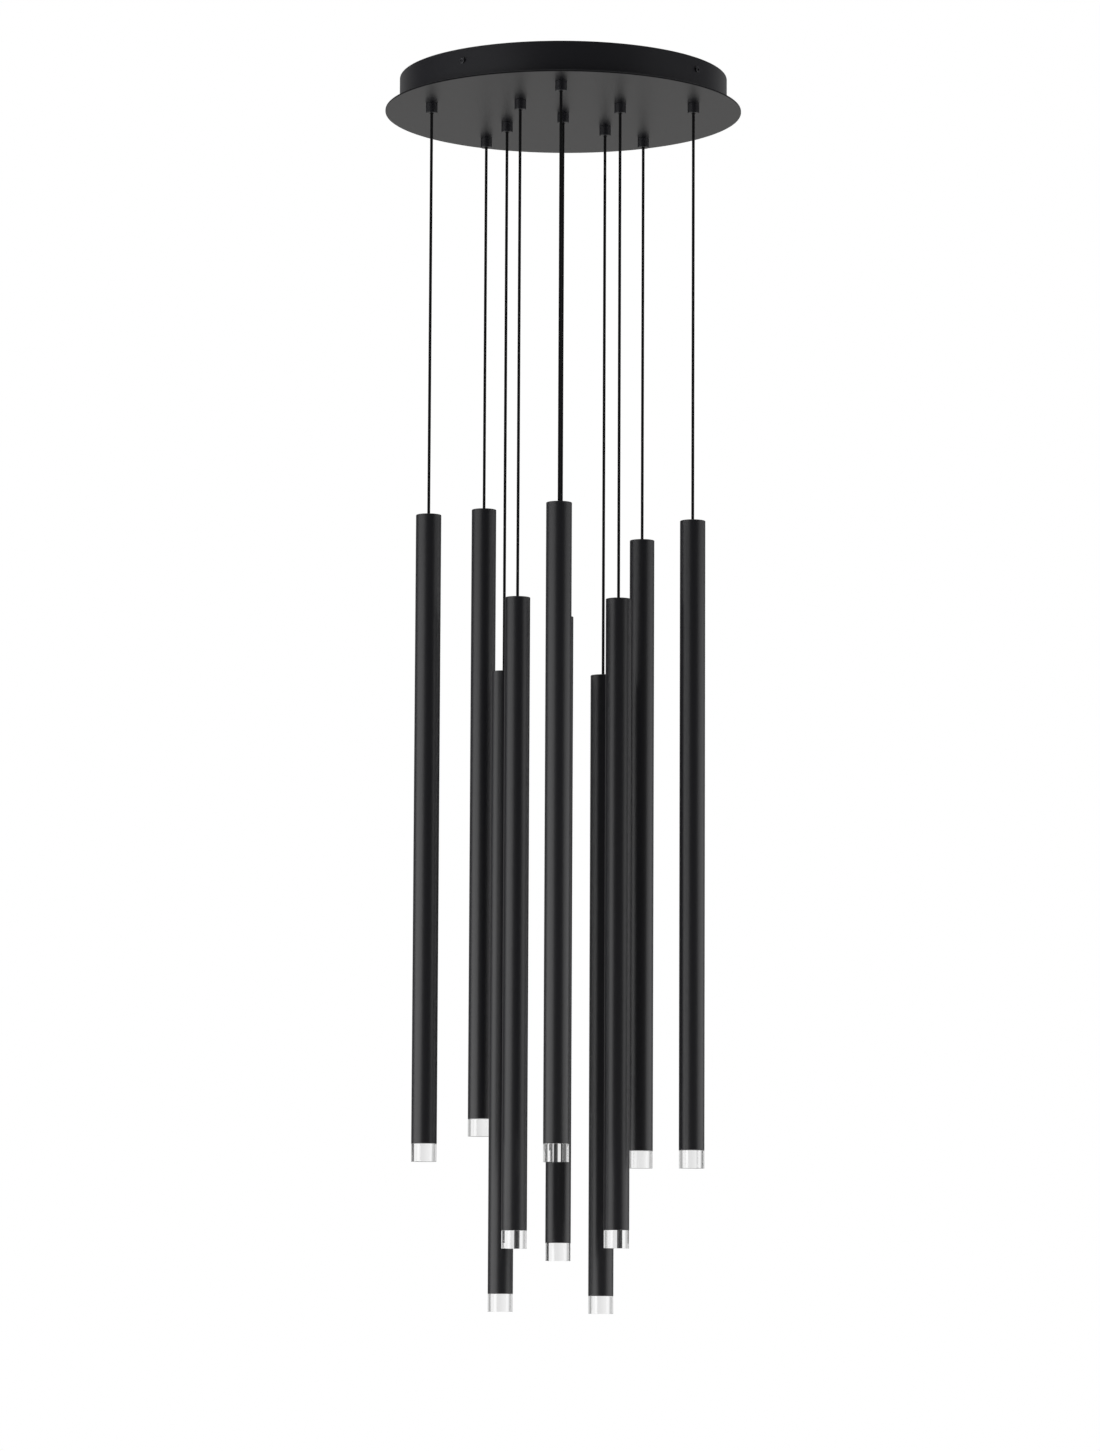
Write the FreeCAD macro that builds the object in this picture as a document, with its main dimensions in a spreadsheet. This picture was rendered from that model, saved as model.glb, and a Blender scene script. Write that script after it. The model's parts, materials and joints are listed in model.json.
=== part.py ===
import FreeCAD, Part
import math
import os

import Sketcher

# Cluster pendant: ten LED rods hung at different heights on cords from one round ceiling canopy.
# Millimetres, +Z up. The origin is in the ceiling plane, midway between the two slots of the
# ceiling bracket, and the side that a viewer sees first faces -Y.

OUTER_COUNT = 5  # rods on the outer ring
INNER_COUNT = 4  # rods on the inner ring; the tenth hangs in the middle
FIN_COUNT = 6  # fins of the heat sink in each rod
POLE_COUNT = 12  # ways of the terminal block

SIZES = {
    # canopy: a spun drum on a flat face plate that stands out past it
    "plate_dia": 400,
    "plate_thick": 2,
    "plate_overhang": 16,
    "drum_wall": 1.2,
    "drum_flange": 12,
    "canopy_depth": 38,
    # where the cords leave the face plate: the outer ring lies inside the drum's wall by its
    # inset, and the inner ring inside the outer one by the step
    "ring_inset": 30.5,
    "ring_step": 74,
    "outer_angle": -90,
    "inner_angle": -36,
    # how far below the ceiling the top of each rod hangs
    "drop_01": 609,
    "drop_02": 595,
    "drop_03": 667,
    "drop_04": 665,
    "drop_05": 596,
    "drop_06": 504,
    "drop_07": 508,
    "drop_08": 505,
    "drop_09": 470,
    "drop_10": 502,
    # cord and its grip, which clamps the cord and is held in the face plate by a nut
    "cord_dia": 3.2,
    "cord_clear": 0.3,
    "cord_in_grip": 2,
    "cord_in_cap": 5,
    "grip_dia": 13,
    "grip_drop": 11,
    "stub_dia": 9.5,
    "stub_clear": 0.15,
    "stub_rise": 7,
    "grip_nut_flats": 14,
    "grip_nut_thick": 3,
    # rod: a thin tube with a closed top, and a solid clear lens whose spigot goes up into its foot
    "tube_dia": 28,
    "tube_wall": 0.8,
    "tube_length": 693,
    "cap_thick": 10,
    "lens_inset": 0.2,
    "lens_show": 19.7,
    "spigot_length": 10,
    "spigot_clear": 0.1,
    # light engine inside the rod, standing on the lens
    "board_thick": 1.6,
    "board_clear": 0.3,
    "sink_core_flats": 11,
    "sink_length": 45,
    "fin_thick": 3,
    # ceiling bracket: a cross of strip steel with its ends bent down
    "bracket_thick": 2,
    "arm_width": 26,
    "tab_drop": 22,
    "tab_gap": 0.6,
    "bend_radius": 1.5,
    "strap_length": 124,
    "strap_width": 30,
    "slot_spacing": 88.9,
    "slot_width": 4.8,
    "slot_length": 13,
    # screws that hold the canopy to the bracket's tabs
    "screw_depth": 13.5,
    "screw_dia": 4,
    "screw_length": 6,
    "screw_clear": 0.1,
    "head_dia": 7,
    "head_rise": 2,
    "socket_flats": 2.5,
    "socket_depth": 1.3,
    # earth screw, under the bracket's strap
    "earth_offset": 22,
    "earth_dia": 4.8,
    "earth_flats": 8,
    "earth_head": 2.5,
    # driver and terminal block on the face plate; an inset runs from the drum's wall to the middle
    "driver_inset": 69,
    "driver_angle": 18,
    "driver_length": 116,
    "driver_width": 40,
    "driver_height": 22,
    "driver_bevel": 2,
    "foot_length": 8,
    "foot_thick": 1.5,
    "block_inset": 69,
    "block_angle": 162,
    "block_length": 88,
    "block_width": 20,
    "block_height": 14,
    "pole_pitch": 6.6,
    "pole_mouth": 4,
    "pole_depth": 5,
    "mouth_height": 3,
    "mouth_lift": 2.5,
    "stud_dia": 3,
    "stud_rise": 5,
    "stud_clear": 0.2,
    "stud_nut_flats": 5.5,
    "stud_nut_thick": 2.4,
}

# radii that several pieces share
DRUM = "(plate_dia / 2 - plate_overhang)"
OUTER_RING = "(%s - ring_inset)" % DRUM
INNER_RING = "(%s - ring_step)" % OUTER_RING
DRIVER_RING = "(%s - driver_inset)" % DRUM
BLOCK_RING = "(%s - block_inset)" % DRUM

doc = FreeCAD.newDocument("cluster_pendant")


def size_sheet():
    """Keeps every driving size as a named cell."""
    sheet = doc.addObject("Spreadsheet::Sheet", "Sizes")
    for row, (name, number) in enumerate(SIZES.items(), start=1):
        sheet.set("A%d" % row, name)
        sheet.set("B%d" % row, str(number))
        sheet.setAlias("B%d" % row, name)
    doc.recompute()


def bound(text):
    """Writes the sheet's name before each size in an expression, longest names first."""
    for name in sorted(SIZES, key=len, reverse=True):
        text = text.replace(name, "@%d@" % list(SIZES).index(name))
    for index, name in enumerate(SIZES):
        text = text.replace("@%d@" % index, "Sizes." + name)
    return text


def bind(thing, prop, text):
    thing.setExpression(prop, bound(text))


def place(thing, across="0", along="0", up="0", turn="0"):
    """Puts a sub-part in the frame: three distances, and its turn about the upright axis."""
    thing.Placement = FreeCAD.Placement(
        FreeCAD.Vector(0, 0, 0), FreeCAD.Rotation(FreeCAD.Vector(0, 0, 1), 1)
    )
    bind(thing, "Placement.Base.x", across)
    bind(thing, "Placement.Base.y", along)
    bind(thing, "Placement.Base.z", up)
    bind(thing, "Placement.Rotation.Angle", turn)
    return thing


def new_body(label):
    body = doc.addObject("PartDesign::Body", "Body")
    body.Label = label
    return body


def origin_item(body, role):
    return next(item for item in body.Origin.OriginFeatures if item.Role == role)


def new_sketch(body, plane="XY_Plane", lift="0", turn=None):
    """A sketch on one of its body's own planes, lifted off it, or turned about its upright axis."""
    sketch = body.newObject("Sketcher::SketchObject", "Sketch")
    sketch.AttachmentSupport = [(origin_item(body, plane), "")]
    sketch.MapMode = "FlatFace"
    if turn:
        sketch.AttachmentOffset = FreeCAD.Placement(
            FreeCAD.Vector(0, 0, 0), FreeCAD.Rotation(FreeCAD.Vector(0, 1, 0), 1)
        )
        bind(sketch, "AttachmentOffset.Rotation.Angle", turn)
    if lift != "0":
        bind(sketch, "AttachmentOffset.Base.z", lift)
    return sketch


def pin_point(sketch, geometry, end, across, up):
    """Holds a point at two distances from the sketch's origin; "0" puts it on that axis, and
    None leaves it free that way."""
    rough = sketch.getPoint(geometry, end)
    for kind, text, axis, now in (
        ("DistanceX", across, -2, rough.x),
        ("DistanceY", up, -1, rough.y),
    ):
        if text == "0":
            rule = Sketcher.Constraint("PointOnObject", geometry, end, axis)
            sketch.addConstraint(rule)
        elif text:
            rule = Sketcher.Constraint(kind, -1, 1, geometry, end, now)
            index = sketch.addConstraint(rule)
            bind(sketch, "Constraints[%d]" % index, text)


def outline(sketch, corners):
    """A closed outline of straight lines through the corners, each given as two expressions."""
    first = sketch.GeometryCount
    count = len(corners)
    rough = [FreeCAD.Vector(1 + 3 * i, 1 + i * i, 0) for i in range(count)]
    for i in range(count):
        sketch.addGeometry(Part.LineSegment(rough[i], rough[(i + 1) % count]), False)
    for i in range(count):
        rule = Sketcher.Constraint("Coincident", first + i, 2, first + (i + 1) % count, 1)
        sketch.addConstraint(rule)
    for i, (across, up) in enumerate(corners):
        pin_point(sketch, first + i, 1, across, up)


def circle(sketch, diameter, across="0", up="0"):
    ring = Part.Circle(FreeCAD.Vector(1, 1, 0), FreeCAD.Vector(0, 0, 1), 1)
    index = sketch.addGeometry(ring, False)
    rule = sketch.addConstraint(Sketcher.Constraint("Diameter", index, 2.0))
    bind(sketch, "Constraints[%d]" % rule, diameter)
    pin_point(sketch, index, 3, across, up)


def rectangle(sketch, wide, tall, across="0", up="0"):
    """A rectangle about a centre point."""
    left, right = "%s - (%s) / 2" % (across, wide), "%s + (%s) / 2" % (across, wide)
    low, high = "%s - (%s) / 2" % (up, tall), "%s + (%s) / 2" % (up, tall)
    outline(sketch, [(left, low), (right, low), (right, high), (left, high)])


def slot(sketch, wide, long, across):
    """A slot with round ends that runs along the sketch's first axis."""
    reach, half = "(%s - %s) / 2" % (long, wide), "%s / 2" % wide
    right, left = "%s + %s" % (across, reach), "%s - %s" % (across, reach)
    first = sketch.GeometryCount
    corners = [FreeCAD.Vector(x, y, 0) for x, y in ((8, 2), (2, 2), (2, -2), (8, -2))]
    round_right = Part.Circle(FreeCAD.Vector(8, 0, 0), FreeCAD.Vector(0, 0, 1), 2)
    round_left = Part.Circle(FreeCAD.Vector(2, 0, 0), FreeCAD.Vector(0, 0, 1), 2)
    quarter = math.pi / 2
    sketch.addGeometry(Part.ArcOfCircle(round_right, -quarter, quarter), False)
    sketch.addGeometry(Part.LineSegment(corners[0], corners[1]), False)
    sketch.addGeometry(Part.ArcOfCircle(round_left, quarter, 3 * quarter), False)
    sketch.addGeometry(Part.LineSegment(corners[2], corners[3]), False)
    for i in range(4):
        rule = Sketcher.Constraint("Coincident", first + i, 2, first + (i + 1) % 4, 1)
        sketch.addConstraint(rule)
    pin_point(sketch, first + 1, 1, right, half)
    pin_point(sketch, first + 1, 2, left, half)
    pin_point(sketch, first + 3, 1, left, "-" + half)
    pin_point(sketch, first + 3, 2, right, "-" + half)
    pin_point(sketch, first, 3, right, None)
    pin_point(sketch, first + 2, 3, left, None)


def pad(body, sketch, length, down=False, both=False):
    feature = body.newObject("PartDesign::Pad", "Pad")
    feature.Profile = sketch
    bind(feature, "Length", length)
    feature.Reversed = down
    feature.SideType = "Symmetric" if both else "One side"
    sketch.Visibility = False
    return feature


def cut(body, sketch, depth=None, reversed_way=False):
    """Cuts a pocket to a depth, or right through the body both ways, and makes sure that it cut."""
    doc.recompute()
    before = body.Shape.Volume
    feature = body.newObject("PartDesign::Pocket", "Pocket")
    feature.Profile = sketch
    if depth:
        bind(feature, "Length", depth)
        feature.Reversed = reversed_way
    else:
        feature.SideType = "Symmetric"
        feature.Type = "ThroughAll"
    doc.recompute()
    if body.Shape.Volume >= before:
        raise RuntimeError("a pocket of %s cuts nothing" % body.Label)
    return feature


def round_pattern(body, feature, count):
    """Repeats a feature evenly round the body's upright axis."""
    pattern = body.newObject("PartDesign::PolarPattern", "PolarPattern")
    pattern.Originals = [feature]
    pattern.Axis = (origin_item(body, "Z_Axis"), [""])
    pattern.Angle = 360
    pattern.Occurrences = count
    body.Tip = pattern
    doc.recompute()


def turned_body(label, corners, lying=False):
    """A lathe-turned piece: corners are (radius, height) pairs, or (length, radius) if it lies."""
    body = new_body(label)
    sketch = new_sketch(body, "XZ_Plane")
    outline(sketch, corners)
    feature = body.newObject("PartDesign::Revolution", "Revolution")
    feature.Profile = sketch
    feature.ReferenceAxis = (sketch, ["H_Axis" if lying else "V_Axis"])
    feature.Angle = 360
    return body


def hexagon(sketch, flats):
    """A hexagon with two corners on the upright axis and two flats square to the level one."""
    corner = "%s / sqrt(3)" % flats
    half_flats, half_side = "%s / 2" % flats, "%s / sqrt(3) / 2" % flats
    outline(
        sketch,
        [
            (half_flats, "-%s" % half_side),
            (half_flats, half_side),
            ("0", corner),
            ("-%s" % half_flats, half_side),
            ("-%s" % half_flats, "-%s" % half_side),
            ("0", "-%s" % corner),
        ],
    )


def nut_body(label, flats, thick, hole):
    body = new_body(label)
    sketch = new_sketch(body)
    hexagon(sketch, flats)
    circle(sketch, hole)
    pad(body, sketch, thick)
    return body


def group(label, master, spots):
    """One node of like pieces: a copy of the master piece at each spot."""
    copies = []
    for across, along, up, turn in spots:
        copy = doc.addObject("App::Link", "Copy")
        copy.LinkedObject = master
        copies.append(place(copy, across, along, up, turn))
    whole = doc.addObject("Part::Compound", "Group")
    whole.Links = copies
    whole.Label = label
    return whole


def ring_spot(radius, angle):
    """A point on a ring as two expressions."""
    return "%s * cos(%s)" % (radius, angle), "%s * sin(%s)" % (radius, angle)


def pendant_spots():
    """Where the cords leave the plate: the middle, the inner ring, then the outer ring."""
    spots = [("0", "0")]
    for i in range(INNER_COUNT):
        spots.append(ring_spot(INNER_RING, "inner_angle + %g" % (360 / INNER_COUNT * i)))
    for i in range(OUTER_COUNT):
        spots.append(ring_spot(OUTER_RING, "outer_angle + %g" % (360 / OUTER_COUNT * i)))
    return spots


def beside(radius, angle, reach):
    """A point at a distance along the tangent from a point on a ring."""
    return (
        "%s * cos(%s) - (%s) * sin(%s)" % (radius, angle, reach, angle),
        "%s * sin(%s) + (%s) * cos(%s)" % (radius, angle, reach, angle),
    )


def stud_spots():
    """The welded studs: two for the driver's feet, then two for the terminal block's ends."""
    spots = []
    for radius, angle, reach in (
        (DRIVER_RING, "driver_angle", "(driver_length + foot_length) / 2"),
        (BLOCK_RING, "block_angle", "(block_length + foot_length) / 2"),
    ):
        spots.append(beside(radius, angle, reach))
        spots.append(beside(radius, angle, "-" + reach))
    return spots


def canopy_drum():
    body = turned_body(
        "canopy_drum",
        [
            (DRUM + " - drum_wall", "0"),
            (DRUM, "0"),
            (DRUM, "plate_thick - canopy_depth"),
            (DRUM + " - drum_flange", "plate_thick - canopy_depth"),
            (DRUM + " - drum_flange", "plate_thick - canopy_depth + drum_wall"),
            (DRUM + " - drum_wall", "plate_thick - canopy_depth + drum_wall"),
        ],
    )
    for plane in ("XZ_Plane", "YZ_Plane"):
        sketch = new_sketch(body, plane)
        circle(sketch, "screw_dia + 4 * screw_clear", up="-screw_depth")
        cut(body, sketch)
    return place(body, turn="inner_angle")


def canopy_plate():
    body = new_body("canopy_plate")
    sketch = new_sketch(body)
    circle(sketch, "plate_dia")
    pad(body, sketch, "plate_thick")
    hole = "stub_dia + 2 * stub_clear"
    sketch = new_sketch(body)
    circle(sketch, hole)
    cut(body, sketch)
    for radius, angle, count in (
        (INNER_RING, "inner_angle", INNER_COUNT),
        (OUTER_RING, "outer_angle", OUTER_COUNT),
    ):
        sketch = new_sketch(body)
        circle(sketch, hole, *ring_spot(radius, angle))
        round_pattern(body, cut(body, sketch), count)
    sketch = new_sketch(body, lift="plate_thick")
    for across, along in stud_spots():
        circle(sketch, "stud_dia", across, along)
    pad(body, sketch, "stud_rise")
    return place(body, up="-canopy_depth")


def ceiling_bracket():
    body = new_body("ceiling_bracket")
    sketch = new_sketch(body)
    rectangle(sketch, "strap_length", "strap_width")
    pad(body, sketch, "bracket_thick", down=True)
    reach = "%s - drum_wall - tab_gap" % DRUM
    sketch = new_sketch(body, "XZ_Plane", turn="inner_angle")
    outline(
        sketch,
        [
            ("0", "0"),
            (reach, "0"),
            (reach, "-tab_drop"),
            (reach + " - bracket_thick", "-tab_drop"),
            (reach + " - bracket_thick", "-bracket_thick"),
            ("0", "-bracket_thick"),
        ],
    )
    arm = pad(body, sketch, "arm_width", both=True)
    round_pattern(body, arm, INNER_COUNT)
    round_the_bends(body)
    for turn in ("inner_angle", "inner_angle + 90"):
        sketch = new_sketch(body, "XZ_Plane", turn=turn + " + 90")
        circle(sketch, "screw_dia + 2 * screw_clear", up="-screw_depth")
        cut(body, sketch)
    sketch = new_sketch(body)
    slot(sketch, "slot_width", "slot_length", "slot_spacing / 2")
    slot(sketch, "slot_width", "slot_length", "-slot_spacing / 2")
    circle(sketch, "earth_dia + 2 * screw_clear", across="earth_offset")
    cut(body, sketch)
    return body


def round_the_bends(body):
    """Rounds the inside and the outside of the four bends between arm and tab."""
    doc.recompute()
    drum = SIZES["plate_dia"] / 2 - SIZES["plate_overhang"]
    reach = drum - SIZES["drum_wall"] - SIZES["tab_gap"]
    thick = SIZES["bracket_thick"]
    for out, level, radius in (
        (reach, 0, "bend_radius + bracket_thick"),
        (reach - thick, -thick, "bend_radius"),
    ):
        base = body.Tip
        edges = []
        for i, edge in enumerate(base.Shape.Edges):
            middle = edge.CenterOfMass
            flat = FreeCAD.Vector(middle.x, middle.y, 0).Length
            if abs(flat - out) < 0.01 and abs(middle.z - level) < 0.01:
                edges.append("Edge%d" % (i + 1))
        bend = body.newObject("PartDesign::Fillet", "Fillet")
        bend.Base = (base, edges)
        bind(bend, "Radius", radius)
        doc.recompute()


def side_screws():
    master = turned_body(
        "side_screw",
        [
            ("-screw_length", "0"),
            ("-screw_length", "screw_dia / 2"),
            ("0", "screw_dia / 2"),
            ("0", "head_dia / 2"),
            ("head_rise", "head_dia / 2"),
            ("head_rise", "0"),
        ],
        lying=True,
    )
    sketch = new_sketch(master, "YZ_Plane", lift="head_rise")
    hexagon(sketch, "socket_flats")
    cut(master, sketch, "socket_depth")
    return group(
        "side_screws",
        master,
        [
            ring_spot(DRUM, "(inner_angle + %d)" % (90 * i))
            + ("-screw_depth", "inner_angle + %d" % (90 * i))
            for i in range(4)
        ],
    )


def cord_grips():
    bore = "cord_dia / 2 + cord_clear"
    master = turned_body(
        "cord_grip",
        [
            (bore, "-grip_drop"),
            ("grip_dia / 2", "-grip_drop"),
            ("grip_dia / 2", "0"),
            ("stub_dia / 2", "0"),
            ("stub_dia / 2", "plate_thick + stub_rise"),
            (bore, "plate_thick + stub_rise"),
        ],
    )
    return group(
        "cord_grips", master, [spot + ("-canopy_depth", "0") for spot in pendant_spots()]
    )


def grip_nuts():
    master = nut_body(
        "grip_nut", "grip_nut_flats", "grip_nut_thick", "stub_dia + 2 * stub_clear"
    )
    up = "plate_thick - canopy_depth"
    return group("grip_nuts", master, [spot + (up, "0") for spot in pendant_spots()])


def stud_nuts():
    master = nut_body(
        "stud_nut", "stud_nut_flats", "stud_nut_thick", "stud_dia + 2 * stud_clear"
    )
    up = "plate_thick - canopy_depth + foot_thick"
    return group("stud_nuts", master, [spot + (up, "0") for spot in stud_spots()])


def earth_screw():
    body = new_body("earth_screw")
    sketch = new_sketch(body)
    circle(sketch, "earth_dia")
    pad(body, sketch, "bracket_thick")
    sketch = new_sketch(body)
    hexagon(sketch, "earth_flats")
    pad(body, sketch, "earth_head", down=True)
    return place(body, across="earth_offset", up="-bracket_thick")


def footed_base(body, wide, long):
    """The thin base that runs out past both ends as feet, with a hole for a stud in each."""
    sketch = new_sketch(body)
    rectangle(sketch, wide, "%s + 2 * foot_length" % long)
    pad(body, sketch, "foot_thick")
    sketch = new_sketch(body)
    reach = "(%s + foot_length) / 2" % long
    circle(sketch, "stud_dia + 2 * stud_clear", up=reach)
    circle(sketch, "stud_dia + 2 * stud_clear", up="-" + reach)
    cut(body, sketch)


def led_driver():
    body = new_body("led_driver")
    footed_base(body, "driver_width", "driver_length")
    sketch = new_sketch(body)
    rectangle(sketch, "driver_width", "driver_length")
    box = pad(body, sketch, "driver_height")
    doc.recompute()
    top = [
        "Edge%d" % (i + 1)
        for i, edge in enumerate(box.Shape.Edges)
        if edge.BoundBox.ZMin > SIZES["driver_height"] - 0.01
    ]
    bevel = body.newObject("PartDesign::Chamfer", "Chamfer")
    bevel.Base = (box, top)
    bind(bevel, "Size", "driver_bevel")
    across, along = ring_spot(DRIVER_RING, "driver_angle")
    return place(body, across, along, "plate_thick - canopy_depth", "driver_angle")


def terminal_block():
    body = new_body("terminal_block")
    footed_base(body, "block_width", "block_length")
    sketch = new_sketch(body)
    rectangle(sketch, "block_width", "block_length")
    pad(body, sketch, "block_height")
    first = "-pole_pitch * %g" % ((POLE_COUNT - 1) / 2)
    sketch = new_sketch(body, lift="block_height")
    rectangle(sketch, "pole_mouth", "pole_mouth", up=first)
    screws = cut(body, sketch, "pole_depth")
    row_pattern(body, screws)
    sketch = new_sketch(body, "YZ_Plane", lift="block_width / 2")
    rectangle(sketch, "pole_mouth", "mouth_height", first, "mouth_lift + mouth_height / 2")
    mouths = cut(body, sketch, "pole_depth")
    row_pattern(body, mouths)
    across, along = ring_spot(BLOCK_RING, "block_angle")
    return place(body, across, along, "plate_thick - canopy_depth", "block_angle")


def row_pattern(body, feature):
    """Repeats a feature once for each way of the terminal block."""
    pattern = body.newObject("PartDesign::LinearPattern", "LinearPattern")
    pattern.Originals = [feature]
    pattern.Direction = (origin_item(body, "Y_Axis"), [""])
    bind(pattern, "Length", "pole_pitch * %d" % (POLE_COUNT - 1))
    pattern.Occurrences = POLE_COUNT
    body.Tip = pattern
    doc.recompute()


def cord(number, spot, drop):
    """The free cord, from inside its grip to inside the rod's cap."""
    body = doc.addObject("Part::Cylinder", "Cord")
    body.Label = "cord_%02d" % number
    bind(body, "Radius", "cord_dia / 2")
    top = "cord_in_grip - canopy_depth - grip_drop"
    foot = "-%s - cord_in_cap" % drop
    bind(body, "Height", "(%s) - (%s)" % (top, foot))
    return place(body, spot[0], spot[1], foot)


def rod_tube(number, spot, drop):
    """The tube, with the cap that closes its top and grips the cord."""
    inner, outer = "tube_dia / 2 - tube_wall", "tube_dia / 2"
    bore = "cord_dia / 2 + cord_clear"
    body = turned_body(
        "rod_tube_%02d" % number,
        [
            (bore, "0"),
            (outer, "0"),
            (outer, "-tube_length"),
            (inner, "-tube_length"),
            (inner, "-cap_thick"),
            (bore, "-cap_thick"),
        ],
    )
    return place(body, spot[0], spot[1], "-" + drop)


def lens(number, spot, drop):
    """Solid clear acrylic: a thick disc that seats on the tube's foot, with a spigot inside it."""
    shown = "tube_dia / 2 - lens_inset"
    spigot = "tube_dia / 2 - tube_wall - spigot_clear"
    body = turned_body(
        "lens_%02d" % number,
        [
            ("0", "-lens_show"),
            (shown, "-lens_show"),
            (shown, "0"),
            (spigot, "0"),
            (spigot, "spigot_length"),
            ("0", "spigot_length"),
        ],
    )
    return place(body, spot[0], spot[1], "-%s - tube_length" % drop)


def led_engine(number, spot, drop):
    """The hexagonal LED board on the lens, and the finned heat sink that stands on the board."""
    bore_radius = "(tube_dia / 2 - tube_wall)"
    board = new_body("led_board")
    sketch = new_sketch(board)
    hexagon(sketch, "(%s - board_clear) * sqrt(3)" % bore_radius)
    pad(board, sketch, "board_thick")
    sink = new_body("heat_sink")
    sketch = new_sketch(sink)
    hexagon(sketch, "sink_core_flats")
    pad(sink, sketch, "sink_length")
    tip = "sqrt((%s - board_clear) ^ 2 - fin_thick ^ 2 / 4)" % bore_radius
    sketch = new_sketch(sink)
    outline(
        sketch,
        [
            ("sink_core_flats / 4", "-fin_thick / 2"),
            (tip, "-fin_thick / 2"),
            (tip, "fin_thick / 2"),
            ("sink_core_flats / 4", "fin_thick / 2"),
        ],
    )
    round_pattern(sink, pad(sink, sketch, "sink_length"), FIN_COUNT)
    place(sink, up="board_thick")
    whole = doc.addObject("Part::Compound", "Engine")
    whole.Links = [board, sink]
    whole.Label = "led_engine_%02d" % number
    return place(whole, spot[0], spot[1], "-%s - tube_length + spigot_length" % drop)


def build():
    """Makes every sub-part, and returns them all."""
    size_sheet()
    parts = [
        ceiling_bracket(),
        canopy_drum(),
        canopy_plate(),
        side_screws(),
        cord_grips(),
        grip_nuts(),
        stud_nuts(),
        earth_screw(),
        led_driver(),
        terminal_block(),
    ]
    for number, spot in enumerate(pendant_spots(), start=1):
        drop = "drop_%02d" % number
        for make in (cord, rod_tube, led_engine, lens):
            parts.append(make(number, spot, drop))
    doc.recompute()
    return parts


def write(parts):
    """Checks every object and every sub-part, then writes one STEP file for each sub-part."""
    for thing in doc.Objects:
        if "Invalid" in thing.State or "Error" in thing.State:
            raise RuntimeError("%s failed: %s" % (thing.Label, thing.State))
    for part in parts:
        if part.Shape.isNull() or not part.Shape.isValid():
            raise RuntimeError("%s has no valid shape" % part.Label)
    os.makedirs("parts", exist_ok=True)
    for part in parts:
        part.Shape.exportStep("parts/%s.step" % part.Label)
        print("%-18s %8.1f mm3" % (part.Label, part.Shape.Volume))


write(build())
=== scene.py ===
"""Looks of a cluster pendant: ten LED rods on cords under one round canopy, in metres."""

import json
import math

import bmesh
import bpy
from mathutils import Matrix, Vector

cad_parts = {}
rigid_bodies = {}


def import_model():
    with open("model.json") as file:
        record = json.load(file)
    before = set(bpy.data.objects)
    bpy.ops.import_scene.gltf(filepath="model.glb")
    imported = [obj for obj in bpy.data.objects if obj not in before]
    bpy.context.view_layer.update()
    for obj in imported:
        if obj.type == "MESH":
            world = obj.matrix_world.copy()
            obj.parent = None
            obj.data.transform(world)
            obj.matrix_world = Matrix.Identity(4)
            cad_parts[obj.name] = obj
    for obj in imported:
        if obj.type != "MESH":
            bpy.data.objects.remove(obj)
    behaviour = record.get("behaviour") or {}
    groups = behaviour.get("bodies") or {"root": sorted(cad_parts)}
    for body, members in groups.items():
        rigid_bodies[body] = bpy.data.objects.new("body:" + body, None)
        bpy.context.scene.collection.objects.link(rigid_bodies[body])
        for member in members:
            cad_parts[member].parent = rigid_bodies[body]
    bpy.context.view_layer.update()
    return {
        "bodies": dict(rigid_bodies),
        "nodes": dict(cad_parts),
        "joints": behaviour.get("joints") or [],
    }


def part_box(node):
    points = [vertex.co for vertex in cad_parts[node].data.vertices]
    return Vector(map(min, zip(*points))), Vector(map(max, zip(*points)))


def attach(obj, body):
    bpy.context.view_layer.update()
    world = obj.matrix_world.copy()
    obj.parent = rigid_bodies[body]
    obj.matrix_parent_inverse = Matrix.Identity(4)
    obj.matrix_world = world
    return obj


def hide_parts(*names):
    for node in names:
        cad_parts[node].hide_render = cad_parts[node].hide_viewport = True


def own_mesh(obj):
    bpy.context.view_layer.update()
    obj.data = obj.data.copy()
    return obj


bl_info = {
    "name": "Cluster Pendant Looks",
    "version": (1, 0, 0),
    "blender": (4, 5, 0),
    "location": "View3D > Sidebar > Pendant",
    "description": "Builds the shown surfaces and finishes of a ten-rod cluster pendant",
    "category": "Object",
}

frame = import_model()

MM = 0.001
ROUND = 2 * math.pi
ON_AXIS = 1e-7  # a radius under this is a point on the axis
SHARP = math.radians(35)  # an edge that turns by more than this isn't shaded smooth
WHITE = (1, 1, 1, 1)
CANOPY = "canopy"
RODS = sorted(name[-2:] for name in frame["bodies"] if name.startswith("rod_"))
INNER_RING = RODS[1:5]
JOINTS = {joint["name"]: joint for joint in frame["joints"]}


def linear(hexcode):
    """An sRGB hex colour as linear red, green and blue."""
    parts = [int(hexcode[i : i + 2], 16) / 255 for i in (0, 2, 4)]
    return [c / 12.92 if c <= 0.04045 else ((c + 0.055) / 1.055) ** 2.4 for c in parts]


def setting(name, text, value, **kind):
    """A number that a user can change."""
    return bpy.props.FloatProperty(name=name, description=text, default=value, **kind)


def length(name, text, millimetres):
    """A size, given in millimetres and kept in metres."""
    return setting(name, text, millimetres * MM, precision=5, unit="LENGTH")


def degrees(name, text, value):
    """An angle, given in degrees."""
    return setting(name, text, math.radians(value), subtype="ANGLE")


def colour(name, text, hexcode):
    """A colour, given as sRGB hex."""
    return bpy.props.FloatVectorProperty(
        name=name, description=text, default=linear(hexcode), subtype="COLOR", min=0, max=1
    )


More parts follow.
